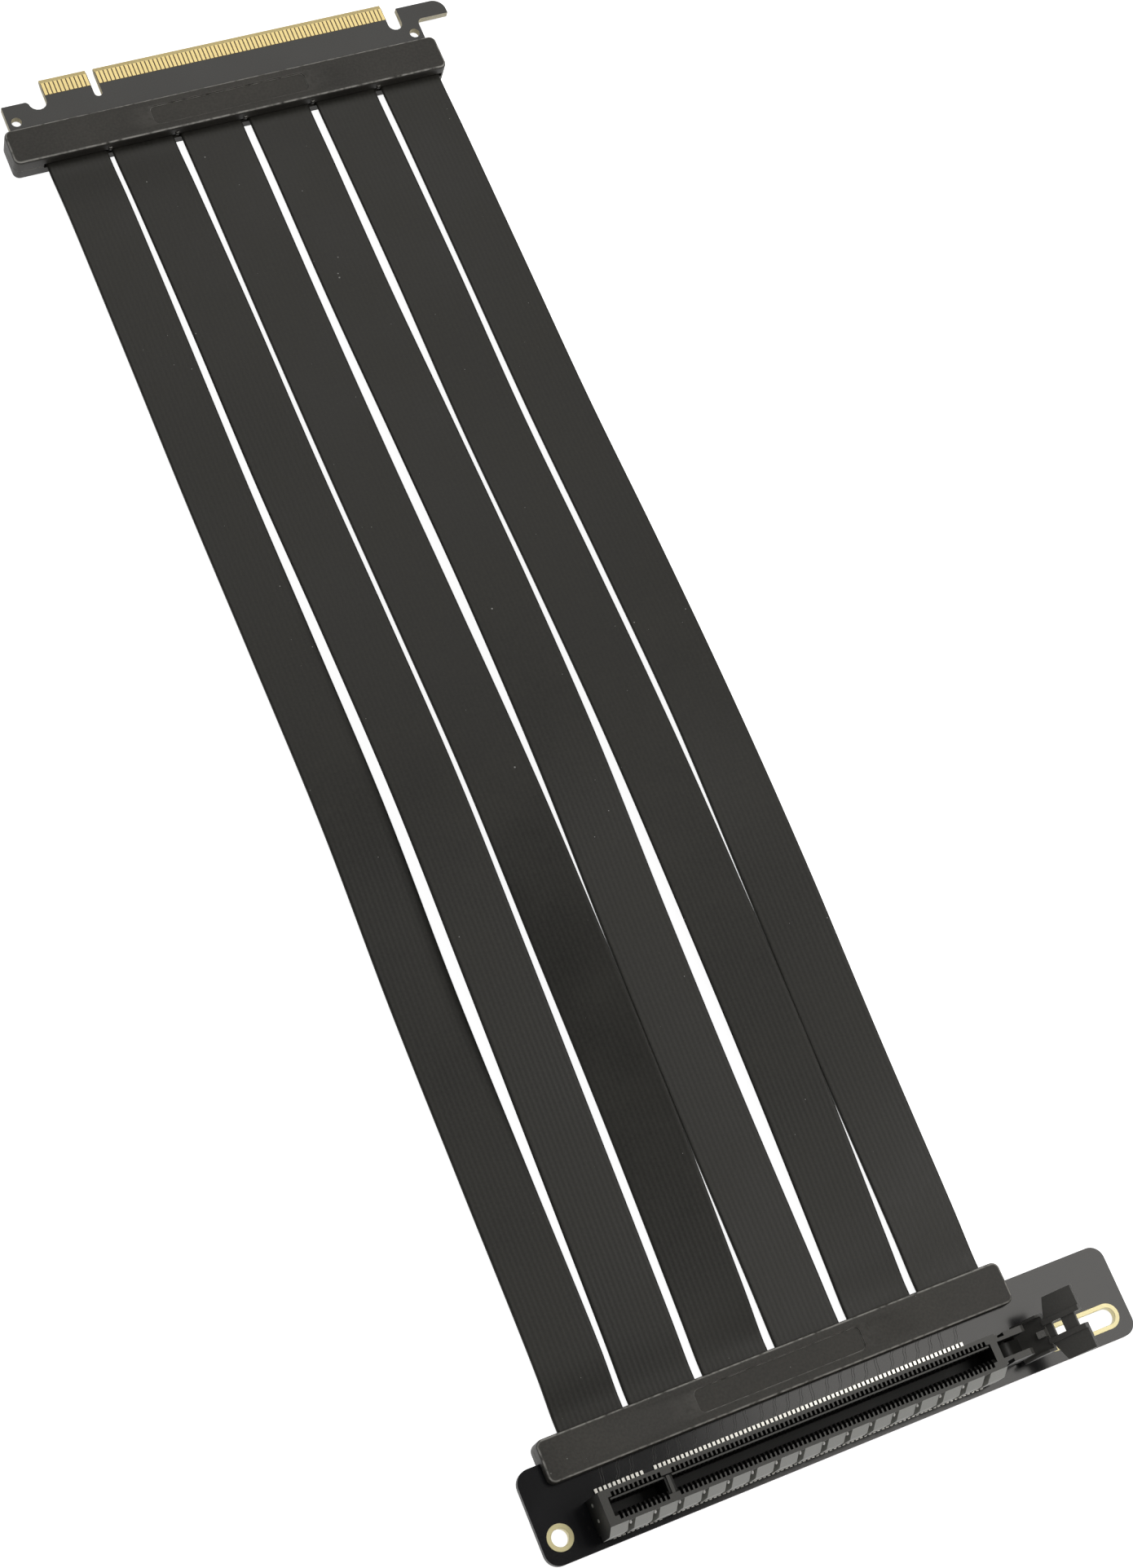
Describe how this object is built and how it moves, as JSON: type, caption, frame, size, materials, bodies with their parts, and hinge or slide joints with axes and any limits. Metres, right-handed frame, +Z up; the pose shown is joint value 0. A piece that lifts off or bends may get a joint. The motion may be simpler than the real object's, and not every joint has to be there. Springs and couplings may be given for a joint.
{
  "type": "gpu riser cable",
  "caption": "Flat ribbon riser for a graphics card: a slotted socket board and a card-edge board joined by flat ribbons, with a hinged retention latch.",
  "frame": {"origin": "on the table, in the middle of the footprint", "axes": "+X along the socket from the first contact towards the latch, +Y from the socket to the card edge, +Z up from the table"},
  "size_m": [0.1348, 0.3494, 0.0187],
  "materials": {
    "board": "black solder mask, glossy",
    "plating": "gold plated, bright",
    "socket": "moulded, satin",
    "latch": "moulded, satin",
    "cover": "moulded, fine matt",
    "ribbon": "jacketed flat ribbon, satin"
  },
  "bodies": {
    "riser": {"socket_board": "board", "round_hole_plating": "plating", "slot_hole_plating": "plating", "socket_housing": "socket", "socket_cover_top": "cover", "socket_cover_bottom": "cover", "ribbon_1": "ribbon", "ribbon_2": "ribbon", "ribbon_3": "ribbon", "ribbon_4": "ribbon", "ribbon_5": "ribbon", "ribbon_6": "ribbon", "card_board": "board", "card_cover_top": "cover", "card_cover_bottom": "cover"},
    "latch": {"retention_latch": "latch"}
  },
  "joints": [
    {"name": "latch_hinge", "type": "hinge", "parent": "riser", "child": "latch", "pos_m": [0.03665, -0.16792, 0.0072], "axis": [0, 1, 0], "range_deg": [-36, 0]}
  ]
}
